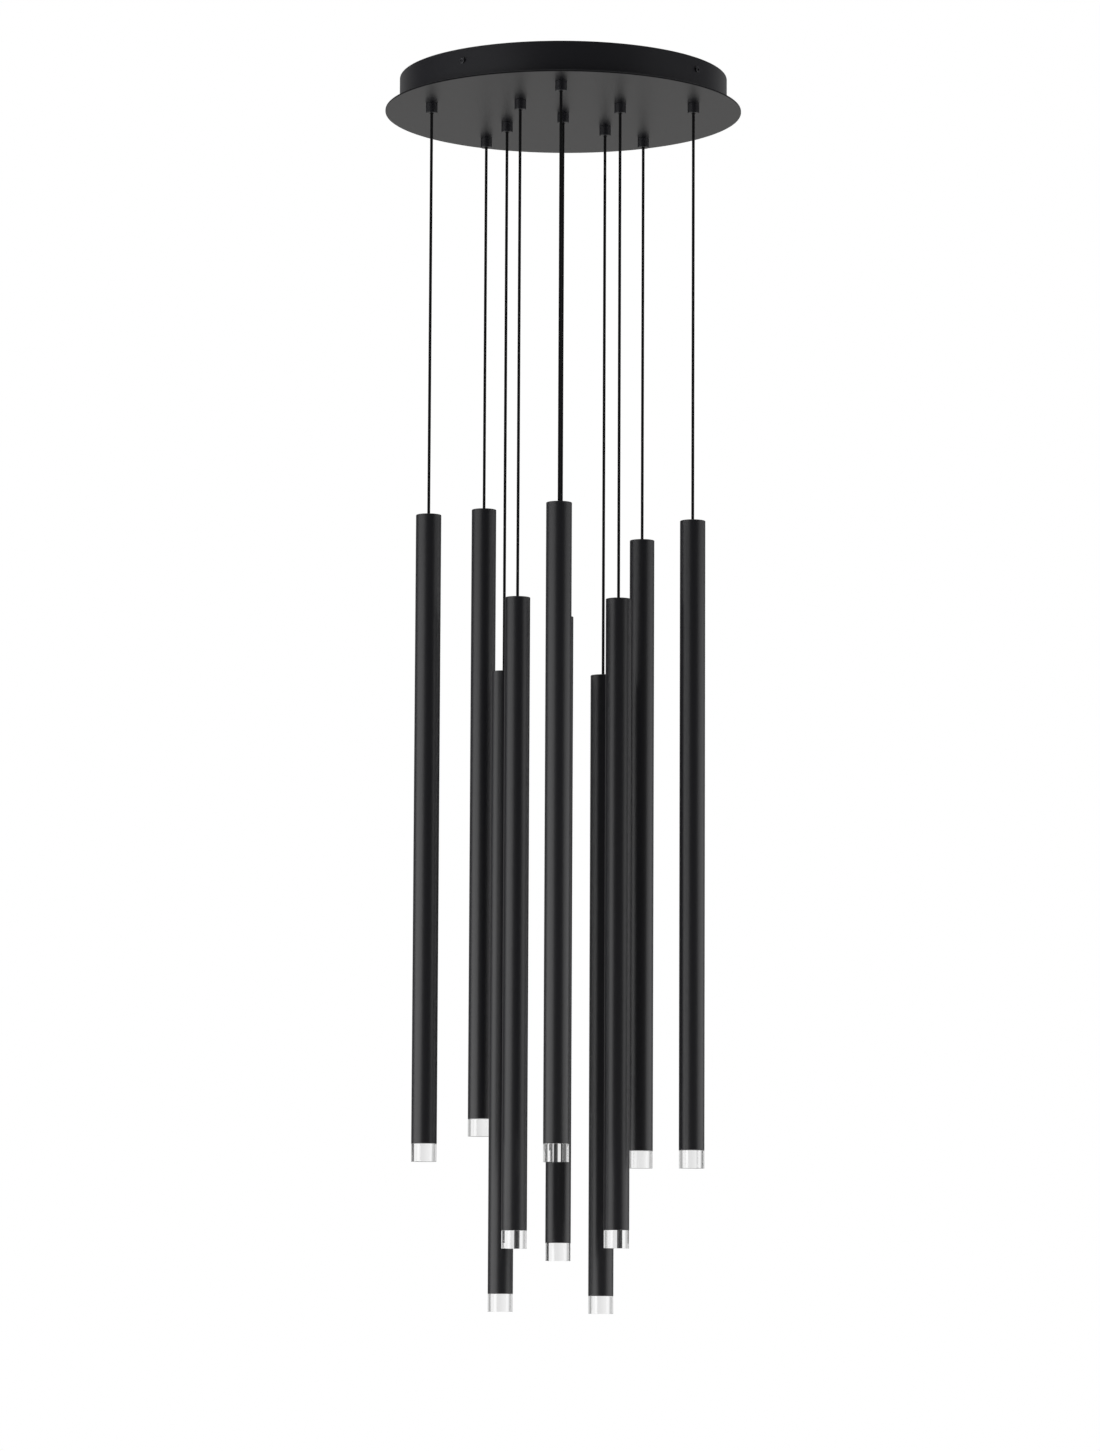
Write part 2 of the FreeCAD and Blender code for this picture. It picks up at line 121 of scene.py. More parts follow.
class CanopySizes(bpy.types.PropertyGroup):
    """Sizes of the canopy that its box in the frame doesn't give."""

    drum_wall: length("Drum wall", "Sheet that the drum is spun from", 1.2)
    drum_flange: length("Drum flange", "Width of the drum's inner flange", 12)
    drum_bend: length("Drum bend", "Outer radius where the wall turns into the flange", 1.5)
    plate_thick: length("Plate thickness", "Sheet that the face plate is cut from", 2)
    edge_ease: length("Edge ease", "Rounding of the coated sheet edges", 0.45)
    plate_hole: length("Cord hole", "Diameter of each hole for a cord grip", 9.8)
    screw_hole: length("Screw hole", "Diameter of the side screws' holes in the drum", 4.4)
    foot_length: length("Foot length", "Reach of the driver's and terminal block's feet", 8)
    foot_thick: length("Foot thickness", "Thickness of those feet", 1.5)
    stud_dia: length("Stud diameter", "Thread of the welded studs", 3)
    stud_rise: length("Stud height", "Height of the studs over the plate", 5)
    pole_pitch: length("Terminal pitch", "Step from one terminal to the next", 6.6)


class HardwareSizes(bpy.types.PropertyGroup):
    """Sizes of the screws, nuts and cord grips."""

    grip_dia: length("Grip diameter", "Body of a cord grip under the plate", 13)
    stub_dia: length("Stub diameter", "Threaded stub of a cord grip", 9.5)
    stub_pitch: length("Stub pitch", "Thread of the stub", 1)
    grip_bore: length("Grip bore", "Hole that the cord leaves by", 3.8)
    grip_nut_flats: length("Grip nut", "Across the flats of a grip's nut", 14)
    grip_nut_thick: length("Grip nut thickness", "Thickness of a grip's nut", 3)
    stud_nut_flats: length("Stud nut", "Across the flats of a stud's nut", 5.5)
    stud_nut_thick: length("Stud nut thickness", "Thickness of a stud's nut", 2.4)
    head_dia: length("Screw head", "Diameter of a side screw's head", 7)
    head_rise: length("Screw head height", "Height of a side screw's head", 2)
    socket_flats: length("Socket", "Across the flats of a side screw's socket", 2.5)
    socket_depth: length("Socket depth", "Depth of a side screw's socket", 1.3)
    screw_dia: length("Screw shank", "Diameter of a side screw's thread", 4)
    screw_length: length("Screw length", "Reach of a side screw under its head", 6)
    screw_pitch: length("Screw pitch", "Thread of a side screw", 0.7)


class RodSizes(bpy.types.PropertyGroup):
    """Sizes inside a rod and of its lens."""

    tube_wall: length("Tube wall", "Wall of the extruded tube", 0.8)
    cap_thick: length("Cap", "Thickness of the closed top", 10)
    cap_bore: length("Cap bore", "Hole that the cord enters by", 3.8)
    tube_ease: length("Tube ease", "Rounding of the tube's coated edges", 0.6)
    lens_ease: length("Lens ease", "Rounding of the polished lens edges", 0.35)
    lens_gap: length("Lens gap", "Air between the lens, the tube's foot and the board", 0.08)
    lens_slip: length("Lens slip", "Air between the lens's spigot and the tube's bore", 0.1)
    chip_dia: length("LED diameter", "Lit face of the LED", 8)
    chip_thick: length("LED thickness", "How far the LED stands under its board", 0.9)
    chip_room: length("LED room", "Air round the LED in the lens's hollow", 0.5)
    chip_recess: length("LED recess", "Depth of the hollow in the lens over the LED", 1.4)
    board_thick: length("Board", "Thickness of the LED board", 1.6)
    core_flats: length("Sink core", "Across the flats of the heat sink's core", 11)
    fin_thick: length("Fin", "Thickness of a heat sink fin", 3)


class Finishes(bpy.types.PropertyGroup):
    """Colours of the finishes."""

    powder: colour("Powder coat", "Matte black polyester on canopy and grips", "0d0d13")
    tube: colour("Tube coat", "Fine satin black polyester on the rods", "0a0a10")
    oxide: colour("Black oxide", "Blackened steel of the side screws", "4a4a4d")
    yarn: colour("Cord yarn", "Black polyester braid over the cord", "08080a")
    acrylic: colour("Acrylic", "Clear cast acrylic of the lenses", "fdfdfd")
    aluminium: colour("Aluminium", "Bare extruded aluminium", "d2d4d6")
    zinc: colour("Zinc", "Clear-passivated zinc on steel", "c3c7cb")
    brass: colour("Brass", "Terminal screws", "cfae62")
    driver: colour("Polycarbonate", "Moulded case of the driver", "e6e6e3")
    polyamide: colour("Polyamide", "Moulded terminal block", "dedbd0")
    mask: colour("Solder mask", "White face of the LED board", "f3f3f0")
    phosphor: colour("Phosphor", "Face of the LED", "f2e3a6")
    floor: colour("Floor", "Pale studio floor", "ebeae8")


class StageLook(bpy.types.PropertyGroup):
    """Camera, lamps and floor."""

    focal_pixels: setting("Focal length", "In pixels of the picture's frame", 4964.47)
    frame_height: setting("Frame height", "Height of the picture's frame in pixels", 1451)
    camera_place: bpy.props.FloatVectorProperty(
        name="Camera",
        description="Where the camera stands",
        default=(0.08797, -5.47938, -1.32265),
        subtype="TRANSLATION",
        unit="LENGTH",
    )
    yaw: degrees("Yaw", "Turn to the right of straight ahead", -1.040)
    pitch: degrees("Pitch", "Tilt above level", 6.166)
    roll: degrees("Roll", "Turn about the line of sight", 0.279)
    ambient: setting("Ambient", "Light from all round on plain surfaces", 0.62)
    lamp_level: setting("Lamps", "Brightness of the left softbox's face", 2.6)
    right_share: setting("Right lamp", "Share of it that the right softbox gives", 0.68)
    lamp_away: length("Lamp distance", "From the pendant to a softbox", 3200)
    lamp_foot: length("Lamp foot", "Height of the softboxes' lower ends", -2250)
    lamp_head: length("Lamp head", "Height of the softboxes' upper ends", 20)
    floor_drop: length("Floor", "How far it lies under the ceiling", 2400)
    floor_reach: length("Floor reach", "Radius of the floor", 12000)


GROUPS = {
    "pendant_canopy": CanopySizes,
    "pendant_hardware": HardwareSizes,
    "pendant_rod": RodSizes,
    "pendant_finish": Finishes,
    "pendant_stage": StageLook,
}


def chosen(group):
    """The sizes, colours or stage settings that the scene holds."""
    return getattr(bpy.context.scene, "pendant_" + group)


def hang_point(number):
    """Where a rod's cord leaves the canopy, in plan."""
    across, along, _ = JOINTS["swing_" + number]["pos_m"]
    return across, along


def hung(number, up=0):
    """A place on a rod's upright line."""
    return Matrix.Translation((*hang_point(number), up))


def screw_places():
    """The side screws' places on the drum's wall, in line with the inner ring's rods, with Z
    pointing outward."""
    low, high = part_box("side_screws")
    wall = Matrix.Translation((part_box("canopy_drum")[1].x, 0, (low.z + high.z) / 2))
    outward = Matrix.Rotation(math.pi / 2, 4, "Y")
    places = []
    for number in INNER_RING:
        across, along = hang_point(number)
        places.append(Matrix.Rotation(math.atan2(along, across), 4, "Z") @ wall @ outward)
    return places


def footed_node(name):
    """A footed box on the plate: the middle of its foot, the angle of its spot, its length over
    the feet, its width and its height, worked out from its upright box."""
    low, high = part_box(name)
    middle = (low + high) / 2
    angle = math.atan2(middle.y, middle.x)
    wide, deep = high.x - low.x, high.y - low.y
    sine, cosine = abs(math.sin(angle)), abs(math.cos(angle))
    spread = cosine * cosine - sine * sine
    whole = (deep * cosine - wide * sine) / spread
    width = (wide * cosine - deep * sine) / spread
    return Vector((middle.x, middle.y, low.z)), angle, whole, width, high.z - low.z


def stand(angle, place):
    """A frame that stands on the plate with X outward and Y along the tangent."""
    return Matrix.Translation(place) @ Matrix.Rotation(angle, 4, "Z")


def stud_places():
    """The feet's studs: two at the driver and two at the terminal block."""
    places = []
    for name in ("led_driver", "terminal_block"):
        place, angle, whole, _, _ = footed_node(name)
        reach = (whole - chosen("canopy").foot_length) / 2
        for side in (reach, -reach):
            places.append(stand(angle, place) @ Vector((0, side, 0)))
    return places


def eased(corners, closed=True, steps=4):
    """An outline's points: each corner is (across, up, ease), and its ease rounds it."""
    points = []
    last = len(corners) - 1
    for i, (across, up, ease) in enumerate(corners):
        here = Vector((across, up))
        if not ease or (not closed and i in (0, last)):
            points.append(here)
            continue
        back = (Vector(corners[i - 1][:2]) - here).normalized()
        ahead = (Vector(corners[(i + 1) % len(corners)][:2]) - here).normalized()
        half = back.angle(ahead) / 2
        centre = here + (back + ahead).normalized() * (ease / math.sin(half))
        start = (here + back * (ease / math.tan(half)) - centre).normalized()
        end = (here + ahead * (ease / math.tan(half)) - centre).normalized()
        for step in range(steps + 1):
            points.append(centre + start.slerp(end, step / steps) * ease)
    return points


def skin(rows, closed=False, caps=False):
    """A mesh of rows of points joined one to the next; a row of one point is a tip."""
    shape = bmesh.new()
    made = [[shape.verts.new(point) for point in row] for row in rows]
    pairs = list(zip(made, made[1:]))
    if closed:
        pairs.append((made[-1], made[0]))
    for low, high in pairs:
        count = max(len(low), len(high))
        for i in range(count):
            j = (i + 1) % count
            if len(low) == 1:
                shape.faces.new((low[0], high[j], high[i]))
            elif len(high) == 1:
                shape.faces.new((low[i], low[j], high[0]))
            else:
                shape.faces.new((low[i], low[j], high[j], high[i]))
    if caps:
        shape.faces.new(made[0])
        shape.faces.new(made[-1])
    bmesh.ops.recalc_face_normals(shape, faces=shape.faces)
    return shape


def ring(radius, up, segments, flats=False):
    """A row round the upright axis: a circle, or a hexagon whose half width is the radius."""
    if radius < ON_AXIS:
        return [(0, 0, up)]
    row = []
    for i in range(segments):
        angle = ROUND * i / segments
        reach = radius
        if flats:
            reach = radius / math.cos((angle + math.pi / 6) % (math.pi / 3) - math.pi / 6)
        row.append((reach * math.cos(angle), reach * math.sin(angle), up))
    return row


def turned(corners, segments=96, closed=True):
    """A lathe-turned shape, from corners of (radius, height, ease)."""
    rows = [ring(*point, segments) for point in eased(corners, closed)]
    return skin(rows, closed=closed)


def ridges(radius, low, high, pitch, depth):
    """The corners of a thread: a root and a crest in each pitch, from low to high."""
    count = round((high - low) / pitch)
    corners = []
    for i in range(count):
        foot = low + (high - low) * i / count
        corners.append((radius - depth, foot, 0))
        corners.append((radius, foot + pitch / 2, 0))
    return corners + [(radius - depth, high, 0)]


def rounded_row(half_x, half_y, corner, up, steps=6):
    """A level rectangle with round corners."""
    row = []
    for i, (sx, sy) in enumerate(((1, 1), (-1, 1), (-1, -1), (1, -1))):
        for step in range(steps + 1):
            angle = math.pi / 2 * (i + step / steps)
            x = sx * (half_x - corner) + corner * math.cos(angle)
            y = sy * (half_y - corner) + corner * math.sin(angle)
            row.append((x, y, up))
    return row


def box_shape(half_x, half_y, corner, side, least=0.05 * MM):
    """An upright box with round corners: its side's corners are (inset, height, ease)."""
    rows = []
    for inset, up in eased(side, closed=False):
        round_by = max(corner - inset, least)
        rows.append(rounded_row(half_x - inset, half_y - inset, round_by, up))
    return skin(rows, caps=True)


def nut(flats, thick, bore, segments=72):
    """A hexagon nut, from its foot up, with its corners and the bore's ends turned off."""
    half, lead = flats / 2, 0.35 * MM
    face, slope = half * 0.94, math.tan(math.radians(30))

    def corner_row(up, way):
        row = []
        for x, y, _ in ring(half, 0, segments, flats=True):
            drop = (math.hypot(x, y) - face) * slope
            row.append((x, y, up - way * drop))
        return row

    rows = [
        ring(bore + lead, 0, segments),
        ring(face, 0, segments),
        corner_row(0, -1),
        corner_row(thick, 1),
        ring(face, thick, segments),
        ring(bore + lead, thick, segments),
        ring(bore, thick - lead, segments),
        ring(bore, lead, segments),
    ]
    return skin(rows, closed=True)


def fin_star(flats, tip, thick, fins=6):
    """The outline of a finned extrusion: a hexagonal core whose flats each carry a fin."""
    root, side = flats / 2, thick / 2
    reach = math.sqrt(tip * tip - side * side)
    bow = [math.asin(side / tip) * k / 3 for k in range(-2, 3)]
    fin = [(root, -side), (reach, -side)]
    fin += [(tip * math.cos(angle), tip * math.sin(angle)) for angle in bow]
    fin += [(reach, side), (root, side)]
    turns = [Matrix.Rotation(ROUND * i / fins, 2) for i in range(fins)]
    return [turn @ Vector(spot) for turn in turns for spot in fin]


def merge(shape, other, place=Matrix.Identity(4)):
    """Adds a copy of one shape to another, at a place."""
    mesh = bpy.data.meshes.new("copy")
    other.to_mesh(mesh)
    mesh.transform(place)
    shape.from_mesh(mesh)
    bpy.data.meshes.remove(mesh)


def copies(shape, places):
    """One shape at each place, as one."""
    whole = bmesh.new()
    for place in places:
        merge(whole, shape, place)
    shape.free()
    return whole


def in_scene(name, shape):
    """An object of a shape, which is used up."""
    mesh = bpy.data.meshes.new(name)
    shape.to_mesh(mesh)
    shape.free()
    made = bpy.data.objects.new(name, mesh)
    bpy.context.scene.collection.objects.link(made)
    return made


def drilled(shape, cutters):
    """A shape with every cutter's shape taken out of it."""
    body, tool = in_scene("drilling", shape), in_scene("drilling", cutters)
    boring = body.modifiers.new("bore", "BOOLEAN")
    boring.operation = "DIFFERENCE"
    boring.solver = "EXACT"
    boring.object = tool
    bpy.context.view_layer.update()
    bored = body.evaluated_get(bpy.context.evaluated_depsgraph_get()).to_mesh()
    result = bmesh.new()
    result.from_mesh(bored)
    for each in (body, tool):
        bpy.data.objects.remove(each)
    return result


def drill_bits(radius, places, reach=20 * MM):
    """Round cutters, each along its own upright axis."""
    bit = skin([ring(radius, -reach, 32), ring(radius, reach, 32)], caps=True)
    return copies(bit, places)


def keep_flats(made):
    """Keeps flat faces from taking on the shading of the roundings beside them."""
    made.modifiers.new("flat faces stay flat", "WEIGHTED_NORMAL").keep_sharp = True


def piece(name, shape, place=Matrix.Identity(4)):
    """A piece of the pendant at a place, smooth but for its sharp edges."""
    shape.transform(place)
    made = in_scene(name, shape)
    made.data.polygons.foreach_set("use_smooth", [True] * len(made.data.polygons))
    made.data.set_sharp_from_angle(angle=SHARP)
    keep_flats(made)
    return made


def dress(made, coat, body, slot, *nodes):
    """Gives a piece its finish, the body that it rides on and the nodes it stands for, which it
    hides. The slot is not used.
    """
    made.data.materials.append(coat)
    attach(made, body)
    if nodes:
        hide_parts(*nodes)


def dress_node(name, coat, ease):
    """Finishes a node of the frame, whose sharp edges get a small rounding."""
    made = frame["nodes"][name]
    made.material_slots[0].material = coat
    bevel = made.modifiers.new("eased edges", "BEVEL")
    bevel.width = ease
    bevel.segments = 2
    bevel.limit_method = "ANGLE"
    bevel.angle_limit = math.radians(40)
    keep_flats(made)


def node(tree, kind, inputs=None, **settings):
    """Adds a node, with its settings and for each input a value or the socket that feeds it, and
    gives its outputs."""
    made = tree.nodes.new("ShaderNode" + kind)
    for name, value in settings.items():
        setattr(made, name, value)
    for name, value in (inputs or {}).items():
        if isinstance(value, bpy.types.NodeSocket):
            tree.links.new(value, made.inputs[name])
        else:
            made.inputs[name].default_value = value
    return made.outputs


def finish(build):
    """The material that a finish's function builds, under its name, when first asked for."""
    coat = bpy.data.materials.get(build.__name__)
    if not coat:
        coat = bpy.data.materials.new(build.__name__)
        coat.use_nodes = True
        build(coat.node_tree, coat.node_tree.nodes["Principled BSDF"])
    return coat


def base_coat(shader, name, **sockets):
    """Sets what is the same all over a finish, first its colour, on the shader's own sockets."""
    shader.inputs["Base Color"].default_value = (*getattr(chosen("finish"), name), 1)
    for socket, value in sockets.items():
        shader.inputs[socket.replace("_", " ")].default_value = value


def grain(tree, size, detail=2.0, stretch=(1, 1, 1)):
    """Noise over a piece, whose lumps are about as large as a real size where its space isn't
    stretched."""
    spot = node(tree, "TexCoord")["Object"]
    spot = node(tree, "Mapping", {"Vector": spot, "Scale": stretch})[0]
    lump = 0.5  # metres, at a scale of 1
    lumps = {"Vector": spot, "Scale": lump / size, "Detail": detail}
    return node(tree, "TexNoise", lumps)["Fac"]


def vary(shader, shade=None, rough=None, raised=None, strength=1.0):
    """Lets patterns vary a finish: shade is one with the shares by which its ends change the
    base colour, rough one with its range of roughness, and raised one with its real depth."""
    tree = shader.id_data
    if shade:
        pattern, *shares = shade
        base = shader.inputs["Base Color"].default_value[:3]
        dark, light = ([min(1, c * (1 + share)) for c in base] for share in shares)
        ends = {0: pattern, 6: (*dark, 1), 7: (*light, 1)}
        mix = node(tree, "Mix", ends, data_type="RGBA")
        tree.links.new(mix[2], shader.inputs["Base Color"])
    if rough:
        pattern, start, end = rough
        low, high = 0.3, 0.7  # most of a noise lies between them
        ends = {"From Min": low, "From Max": high, "To Min": start, "To Max": end}
        span = node(tree, "MapRange", {"Value": pattern, **ends})
        tree.links.new(span["Result"], shader.inputs["Roughness"])
    if raised:
        height, depth = raised
        bump = node(tree, "Bump", {"Height": height, "Distance": depth, "Strength": strength})
        tree.links.new(bump["Normal"], shader.inputs["Normal"])


def matte_polyester_powder_coat(tree, shader):
    """Polyester powder, electrostatically sprayed and baked: an even, soft black whose fine
    orange peel breaks up reflections, so edges catch only a faint grey line."""
    base_coat(shader, "powder", Roughness=0.38, IOR=1.5)
    fine, peel = grain(tree, 0.25 * MM), grain(tree, 1.3 * MM, 1.0)
    both = node(tree, "Math", {0: fine, 1: 0.35, 2: peel}, operation="MULTIPLY_ADD")[0]
    cloud = grain(tree, 60 * MM)
    vary(shader, (cloud, -0.12, 0.12), (fine, 0.34, 0.42), (both, 0.03 * MM))


def satin_polyester_tube_coat(tree, shader):
    """Fine-texture polyester powder on an extruded tube: satin, with a close tight grain that
    draws lamps out into long soft streaks."""
    base_coat(shader, "tube", Roughness=0.4, IOR=1.5)
    fine, peel = grain(tree, 0.3 * MM), grain(tree, 1.6 * MM, 1.0)
    both = node(tree, "Math", {0: fine, 1: 0.4, 2: peel}, operation="MULTIPLY_ADD")[0]
    long_cloud = grain(tree, 8 * MM, stretch=(1, 1, 0.1))
    vary(shader, (long_cloud, -0.1, 0.1), (fine, 0.36, 0.44), (both, 0.02 * MM))


def black_oxide_steel(tree, shader):
    """Blackened and oiled steel, machined: darker and shinier than the coats round it."""
    base_coat(shader, "oxide", Metallic=1.0, Roughness=0.35)
    fine = grain(tree, 0.2 * MM, 3.0)
    vary(shader, (fine, -0.2, 0.3), (fine, 0.28, 0.42), (fine, 0.01 * MM))


def black_polyester_braid(tree, shader):
    """Black polyester yarn braided round the cord: two crossing sets of fine strands that give
    it a soft, dull black with no clear highlight. The strands' crowns carry a painted
    highlight, and the valleys between them painted shade."""
    sheen = {"Sheen_Weight": 0.05, "Sheen_Roughness": 0.4}
    base_coat(shader, "yarn", Roughness=0.65, Specular_IOR_Level=0.1, **sheen)
    strands = 12
    pitch = 3.2 * MM  # drawn half again as coarse as real braid, which would be too fine to show
    spot = node(tree, "SeparateXYZ", {0: node(tree, "TexCoord")["UV"]})
    waves = []
    for way in (1, -1):
        lay = node(tree, "Math", {0: spot[1], 1: way * ROUND / pitch}, operation="MULTIPLY")[0]
        wound = {0: spot[0], 1: ROUND * strands, 2: lay}
        turn = node(tree, "Math", wound, operation="MULTIPLY_ADD")[0]
        waves.append(node(tree, "Math", {0: turn}, operation="SINE")[0])
    over = node(tree, "Math", {0: waves[0], 1: waves[1]}, operation="MAXIMUM")[0]
    # painted highlight on the strands' crowns and painted shade in the valleys between them; the
    # roughness and relief follow the same strands
    vary(shader, (over, -0.7, 0.6), (over, 0.7, 0.6), (over, 0.06 * MM))


def clear_cast_acrylic(tree, shader):
    """Cast acrylic, turned and flame-polished: water clear, so it shows as bent images of what
    is behind it, with the faintest lathe waves."""
    base_coat(shader, "acrylic", Roughness=0.0, IOR=1.491, Transmission_Weight=1.0)
    waves = grain(tree, 6 * MM, 0.0, stretch=(1, 1, 4))
    vary(shader, raised=(waves, 0.01 * MM), strength=0.3)


def extruded_aluminium(tree, shader):
    """Bare aluminium drawn through a die: pale grey with fine lines along its length."""
    base_coat(shader, "aluminium", Metallic=1.0, Roughness=0.35)
    lines = grain(tree, 0.25 * MM, stretch=(1, 1, 0.02))
    vary(shader, (lines, -0.12, 0.05), (lines, 0.26, 0.42), (lines, 0.02 * MM))


def clear_zinc_plated_steel(tree, shader):
    """Zinc electroplated on pressed steel and passivated clear: a cool, slightly cloudy grey
    with fine rolling marks."""
    base_coat(shader, "zinc", Metallic=0.8, Roughness=0.34)
    cloud = grain(tree, 7 * MM, 3.0)
    rolled = grain(tree, 0.3 * MM, stretch=(0.05, 1, 1))
    vary(shader, (cloud, -0.16, 0.06), (cloud, 0.27, 0.43), (rolled, 0.012 * MM))


def turned_brass(tree, shader):
    """Bright free-cutting brass, turned: warm yellow with fine tool marks."""
    base_coat(shader, "brass", Metallic=1.0, Roughness=0.28)
    fine = grain(tree, 0.3 * MM)
    vary(shader, rough=(fine, 0.22, 0.36), raised=(fine, 0.01 * MM))


def moulded(tree, shader, name, rough, glow):
    """Injection-moulded plastic with a spark-eroded grain: even colour and a soft gloss."""
    deep = {"Subsurface_Weight": glow, "Subsurface_Scale": 2 * MM}
    base_coat(shader, name, Roughness=rough, IOR=1.53, **deep)
    spark, cloud = grain(tree, 0.35 * MM, 3.0), grain(tree, 20 * MM)
    vary(shader, (cloud, -0.04, 0.02), (spark, rough - 0.06, rough + 0.06), (spark, 0.03 * MM))


def moulded_polycarbonate(tree, shader):
    """Opaque off-white polycarbonate of the driver's case, close and hard."""
    moulded(tree, shader, "driver", 0.42, 0.0)


def moulded_polyamide(tree, shader):
    """Cream polyamide of the terminal block, duller, and lit a little from within."""
    moulded(tree, shader, "polyamide", 0.5, 0.1)


def white_solder_mask(tree, shader):
    """White solder mask on an aluminium-core board: glossy enamel over faint copper outlines."""
    base_coat(shader, "mask", Roughness=0.3, Coat_Weight=0.2)
    weave = grain(tree, 0.8 * MM, 1.0)
    vary(shader, (weave, -0.05, 0.02), (weave, 0.25, 0.36), (weave, 0.01 * MM))


def lit_led_phosphor(tree, shader):
    """Silicone with phosphor over the LED dies, glowing softly so the lens shows it as white."""
    base_coat(shader, "phosphor", Roughness=0.45)
    shader.inputs["Emission Color"].default_value = (0.86, 0.93, 1.0, 1)
    shader.inputs["Emission Strength"].default_value = 2.0
    vary(shader, (grain(tree, 0.3 * MM), -0.1, 0.05))


def pale_floor_paint(tree, shader):
    """Matte emulsion on a smooth floor: pale and hardly mottled. To the eye and the lenses alone
    it fades to white towards its rim, and from below it isn't there."""
    base_coat(shader, "floor", Roughness=0.9, Specular_IOR_Level=0.1)
    vary(shader, (grain(tree, 400 * MM), -0.02, 0.02))
    least, fade_from, rim = 0.6, 2.0, chosen("stage").floor_reach - 0.5
    spot = node(tree, "TexCoord")["Object"]
    away = node(tree, "VectorMath", {0: spot}, operation="LENGTH")["Value"]
    fade = {"Value": away, "From Min": fade_from, "From Max": rim, "To Min": least}
    white = node(tree, "MapRange", fade, interpolation_type="SMOOTHSTEP")["Result"]
    path = node(tree, "LightPath")
    eyes = {0: path["Is Camera Ray"], 1: path["Is Transmission Ray"]}
    seen = node(tree, "Math", eyes, operation="MAXIMUM")[0]
    share = node(tree, "Math", {0: white, 1: seen}, operation="MULTIPLY")[0]
    glow = node(tree, "Emission", {"Color": WHITE, "Strength": 1.0})[0]
    faded = node(tree, "MixShader", {0: share, 1: shader.outputs[0], 2: glow})[0]
    below = node(tree, "NewGeometry")["Backfacing"]
    clear = node(tree, "BsdfTransparent")[0]
    sided = node(tree, "MixShader", {0: below, 1: faded, 2: clear})[0]
    tree.links.new(sided, tree.nodes["Material Output"].inputs["Surface"])


def picture_camera(look):
    """The camera at the picture's own place, turn and focal length."""
    lens = bpy.data.cameras.new("picture_camera")
    lens.sensor_fit = "VERTICAL"
    lens.sensor_width = lens.sensor_height = 36
    lens.lens = look.focal_pixels / look.frame_height * lens.sensor_height
    lens.clip_start, lens.clip_end = 0.1, 200
    sine, cosine, level = math.sin(look.yaw), math.cos(look.yaw), math.cos(look.pitch)
    sight = Vector((sine * level, cosine * level, math.sin(look.pitch)))
    right = Vector((cosine, -sine, 0))
    up = right.cross(sight)
    roll = Matrix.Rotation(look.roll, 3, -sight)
    turn = Matrix((roll @ right, roll @ up, -sight)).transposed()
    camera = bpy.data.objects.new("picture_camera", lens)
    camera.matrix_world = Matrix.Translation(look.camera_place) @ turn.to_4x4()
    bpy.context.scene.collection.objects.link(camera)
    bpy.context.scene.camera = camera


def softbox(look, name, azimuth, spread, level):
    """A soft panel lamp beside the pendant. Its azimuth goes to the right from the camera's
    side, and it and the spread, as the pendant sees it, are in degrees."""
    distance = look.lamp_away
    wide = 2 * distance * math.tan(math.radians(spread) / 2)
    tall, middle = look.lamp_head - look.lamp_foot, (look.lamp_foot + look.lamp_head) / 2
    lamp = bpy.data.lights.new(name, "AREA")
    lamp.shape = "RECTANGLE"
    lamp.size, lamp.size_y = wide, tall
    lamp.energy = level * wide * tall * math.pi
    made = bpy.data.objects.new(name, lamp)
    made.visible_camera = made.visible_transmission = False
    angle = math.radians(azimuth)
    made.location = (distance * math.sin(angle), -distance * math.cos(angle), middle)
    inward = Vector((0, 0, middle)) - made.location
    made.rotation_euler = inward.to_track_quat("-Z", "Y").to_euler()
    bpy.context.scene.collection.objects.link(made)


def flag(made):
    """Keeps the light of the softboxes that stand so far off a piece, as a studio flag does."""
    kept = bpy.data.collections.get("kept_off") or bpy.data.collections.new("kept_off")
    kept.objects.link(made)
    kept.collection_objects[-1].light_linking.link_state = "EXCLUDE"
    for lamp in bpy.context.scene.objects:
        if lamp.type == "LIGHT":
            lamp.light_linking.receiver_collection = kept


# What gloss and glass see of the room: grey levels by degrees from straight behind the pendant.
# Gloss sees a dark room with a backdrop, and glass a pale one with dark stands at the sides.
GLOSSY_ROOM = [(-180, 0.05), (-60, 0.05), (-35, 0.3), (35, 0.3), (60, 0.05), (180, 0.05)]
GLASS_ROOM = [
    (-180, 0.8), (-150, 0.85), (-137, 0.42), (-122, 0.85), (-60, 0.85), (-47, 0.42),
    (-38, 0.5), (-29, 0.9), (-16, 0.9), (0, 0.8), (10, 0.79), (13, 0.93), (17, 0.93),
    (21, 0.8), (31, 0.82), (40, 0.4), (49, 0.4), (62, 0.85), (122, 0.85), (137, 0.42),
    (150, 0.85), (180, 0.8),
]
CEILING_FROM, CEILING_FULL = 0.5, 0.8  # sines of the heights where gloss sees the white ceiling


def grey_levels(tree, share, stops):
    """The room's grey at a share of the way round it."""
    grey = node(tree, "ValToRGB", {"Fac": share})["Color"]
    marks = grey.node.color_ramp.elements
    marks.remove(marks[-1])
    for i, (bearing, level) in enumerate(stops):
        position = (bearing + 180) / 360
        mark = marks.new(position) if i else marks[0]
        mark.position = position
        mark.color = (level, level, level, 1)
    return grey


